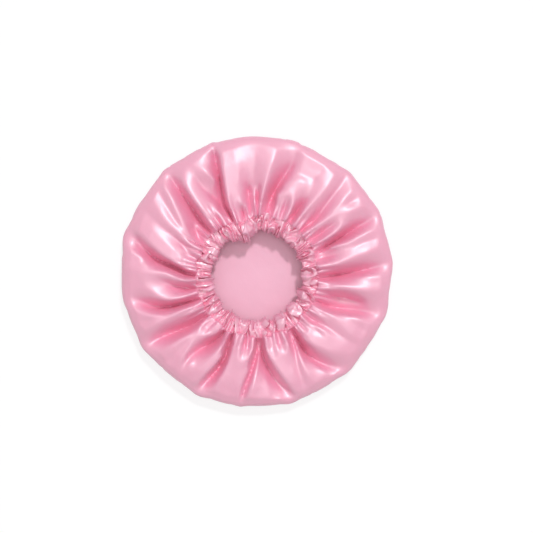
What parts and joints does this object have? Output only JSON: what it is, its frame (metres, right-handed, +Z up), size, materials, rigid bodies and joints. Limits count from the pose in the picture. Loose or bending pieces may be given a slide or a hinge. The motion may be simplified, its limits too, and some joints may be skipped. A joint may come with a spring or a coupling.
{
  "type": "hair bonnet",
  "caption": "Round satin hair bonnet lying on its crown, with a puffed, folded skirt gathered into a ruched elastic casing round the head opening.",
  "frame": {"origin": "centre of the bounding box, on the underside of the flat crown", "axes": "+Z up through the head opening, +Y towards the top of the picture, +X towards its right"},
  "size_m": [0.3478, 0.3488, 0.0438],
  "materials": {
    "pink_satin": "glossy satin weave, matte on its wrong side",
    "white_elastic": "knitted elastic",
    "white_thread": "spun sewing thread",
    "pink_thread": "spun sewing thread"
  },
  "bodies": {
    "root": {"satin_shell": "pink_satin", "elastic_casing": "pink_satin", "elastic_band": "white_elastic", "elastic_lap_stitching": "white_thread", "casing_upper_stitching": "pink_thread", "casing_lower_stitching": "pink_thread"}
  },
  "joints": []
}
